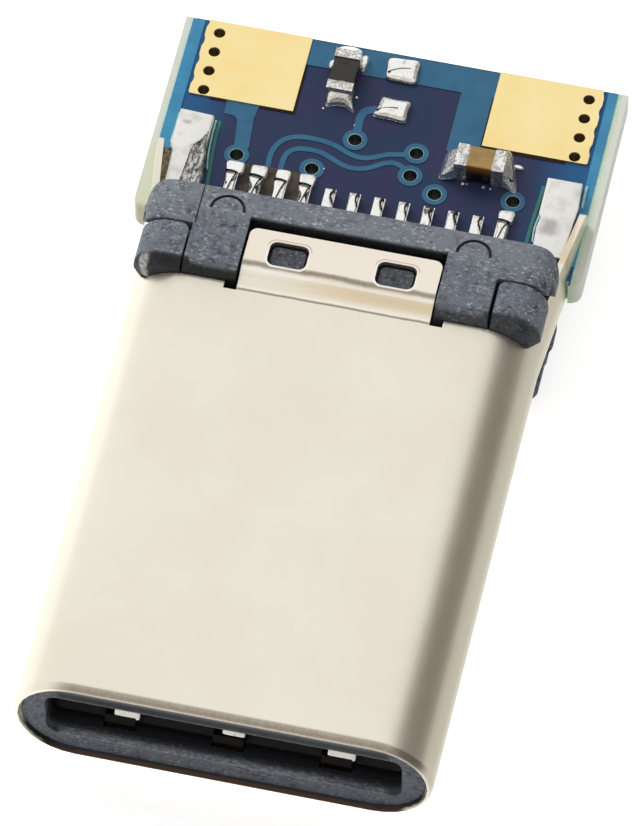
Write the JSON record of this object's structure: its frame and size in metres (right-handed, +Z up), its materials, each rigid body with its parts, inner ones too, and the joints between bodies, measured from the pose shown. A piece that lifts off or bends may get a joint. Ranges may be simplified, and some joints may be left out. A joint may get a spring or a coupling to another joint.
{
  "type": "usb-c plug",
  "caption": "Reversible oblong data and power plug: drawn steel shell, black base mouldings and sprung contacts, soldered to a small blue circuit board with gold wire pads.",
  "frame": {"origin": "under the middle of the plug's length and width, at the level of the base's lowest face", "axes": "+X across the plug to the right, +Y from the mouth to the wire end of the board, +Z up through the side of the board that carries the chips"},
  "size_m": [0.0092, 0.0166, 0.003],
  "materials": {
    "shell_nickel": "satin nickel plating, pale champagne",
    "latch_steel": "bright tinned steel sheet",
    "spring_steel": "plain spring steel",
    "black_plastic": "glass-filled moulding, grey-black and speckled",
    "contact_plating": "tin over copper alloy",
    "board_mask": "blue solder mask over laminate",
    "gold_plating": "pale gold plating, matt",
    "resistor_ceramic": "black chip body with tinned ends",
    "capacitor_ceramic": "tan chip body with tinned ends",
    "solder": "bright solder"
  },
  "bodies": {
    "root": {"shell": "shell_nickel", "latch_plate": "latch_steel", "upper_emc_spring": "spring_steel", "lower_emc_spring": "spring_steel", "front_base": "black_plastic", "rear_base": "black_plastic", "front_housing": "black_plastic", "upper_contact_holder": "black_plastic", "lower_contact_holder": "black_plastic", "upper_contact_01": "contact_plating", "upper_contact_02": "contact_plating", "upper_contact_03": "contact_plating", "upper_contact_04": "contact_plating", "upper_contact_05": "contact_plating", "upper_contact_06": "contact_plating", "upper_contact_07": "contact_plating", "upper_contact_08": "contact_plating", "upper_contact_09": "contact_plating", "upper_contact_10": "contact_plating", "upper_contact_11": "contact_plating", "upper_contact_12": "contact_plating", "lower_contact_01": "contact_plating", "lower_contact_02": "contact_plating", "lower_contact_03": "contact_plating", "lower_contact_04": "contact_plating", "lower_contact_05": "contact_plating", "lower_contact_08": "contact_plating", "lower_contact_09": "contact_plating", "lower_contact_10": "contact_plating", "lower_contact_11": "contact_plating", "lower_contact_12": "contact_plating", "circuit_board": "board_mask", "upper_wire_pad_left": "gold_plating", "upper_wire_pad_right": "gold_plating", "lower_wire_pad_left": "gold_plating", "lower_wire_pad_right": "gold_plating", "lower_signal_pad_1": "gold_plating", "lower_signal_pad_2": "gold_plating", "lower_signal_pad_3": "gold_plating", "lower_signal_pad_4": "gold_plating", "chip_resistor": "resistor_ceramic", "chip_capacitor": "capacitor_ceramic", "resistor_solder_front": "solder", "resistor_solder_rear": "solder", "capacitor_solder_left": "solder", "capacitor_solder_right": "solder", "spare_pad_solder_front": "solder", "spare_pad_solder_rear": "solder"}
  },
  "joints": []
}
